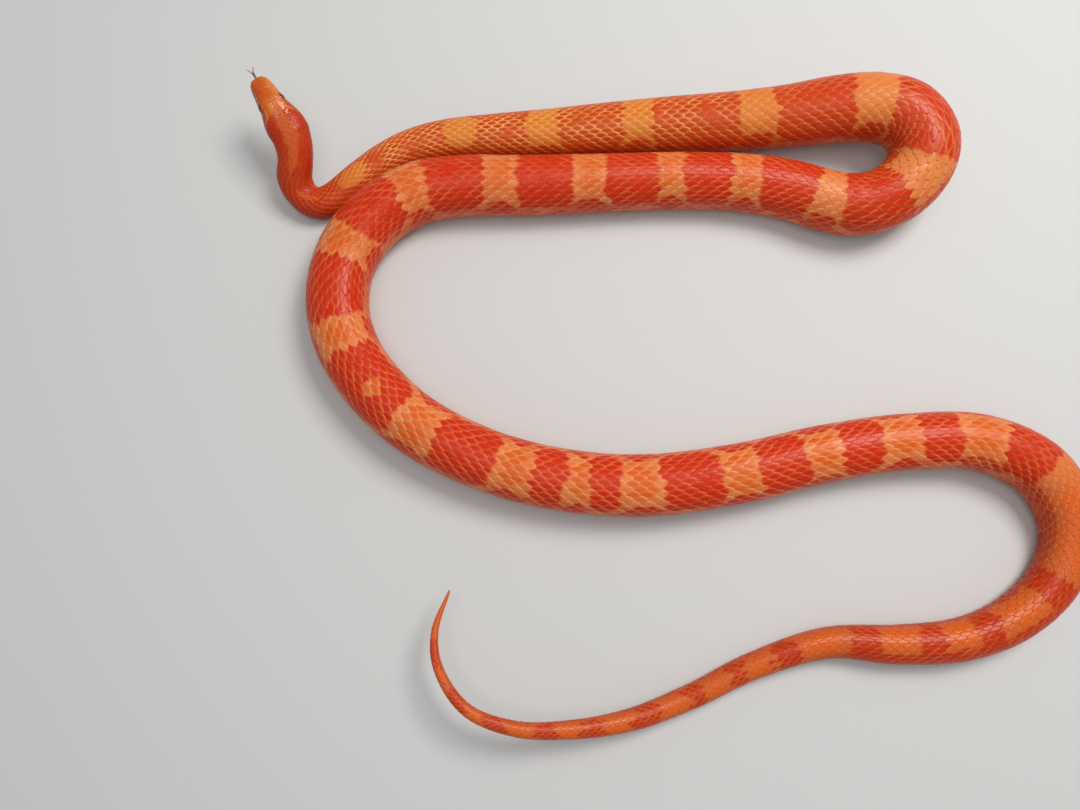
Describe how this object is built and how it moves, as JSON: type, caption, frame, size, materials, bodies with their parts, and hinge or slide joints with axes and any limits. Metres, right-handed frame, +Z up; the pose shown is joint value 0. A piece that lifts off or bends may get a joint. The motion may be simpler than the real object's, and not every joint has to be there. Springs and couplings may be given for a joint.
{
  "type": "corn snake",
  "caption": "Life-size still model of an adult corn snake lying in long loose curves, head raised, with a slender tail.",
  "frame": {"origin": "middle of the bounding box in plan, on the floor under the belly", "axes": "+Z up, +X along the long side of the coils towards the bend at the right, +Y towards the head"},
  "size_m": [0.3667, 0.2873, 0.0355],
  "materials": {
    "skin": "satin orange and red scales",
    "head": "smooth glossy head plates",
    "eye": "wet, glassy dark red",
    "tongue": "moist dark red"
  },
  "bodies": {
    "root": {"head": "head", "lower_jaw": "head", "eye_left": "eye", "eye_right": "eye", "tongue": "tongue", "neck": "skin", "trunk_1": "skin", "trunk_2": "skin", "trunk_3": "skin", "trunk_4": "skin", "trunk_5": "skin", "trunk_6": "skin", "trunk_7": "skin", "trunk_8": "skin", "trunk_9": "skin", "trunk_10": "skin", "trunk_11": "skin", "tail_1": "skin", "tail_2": "skin"}
  },
  "joints": []
}
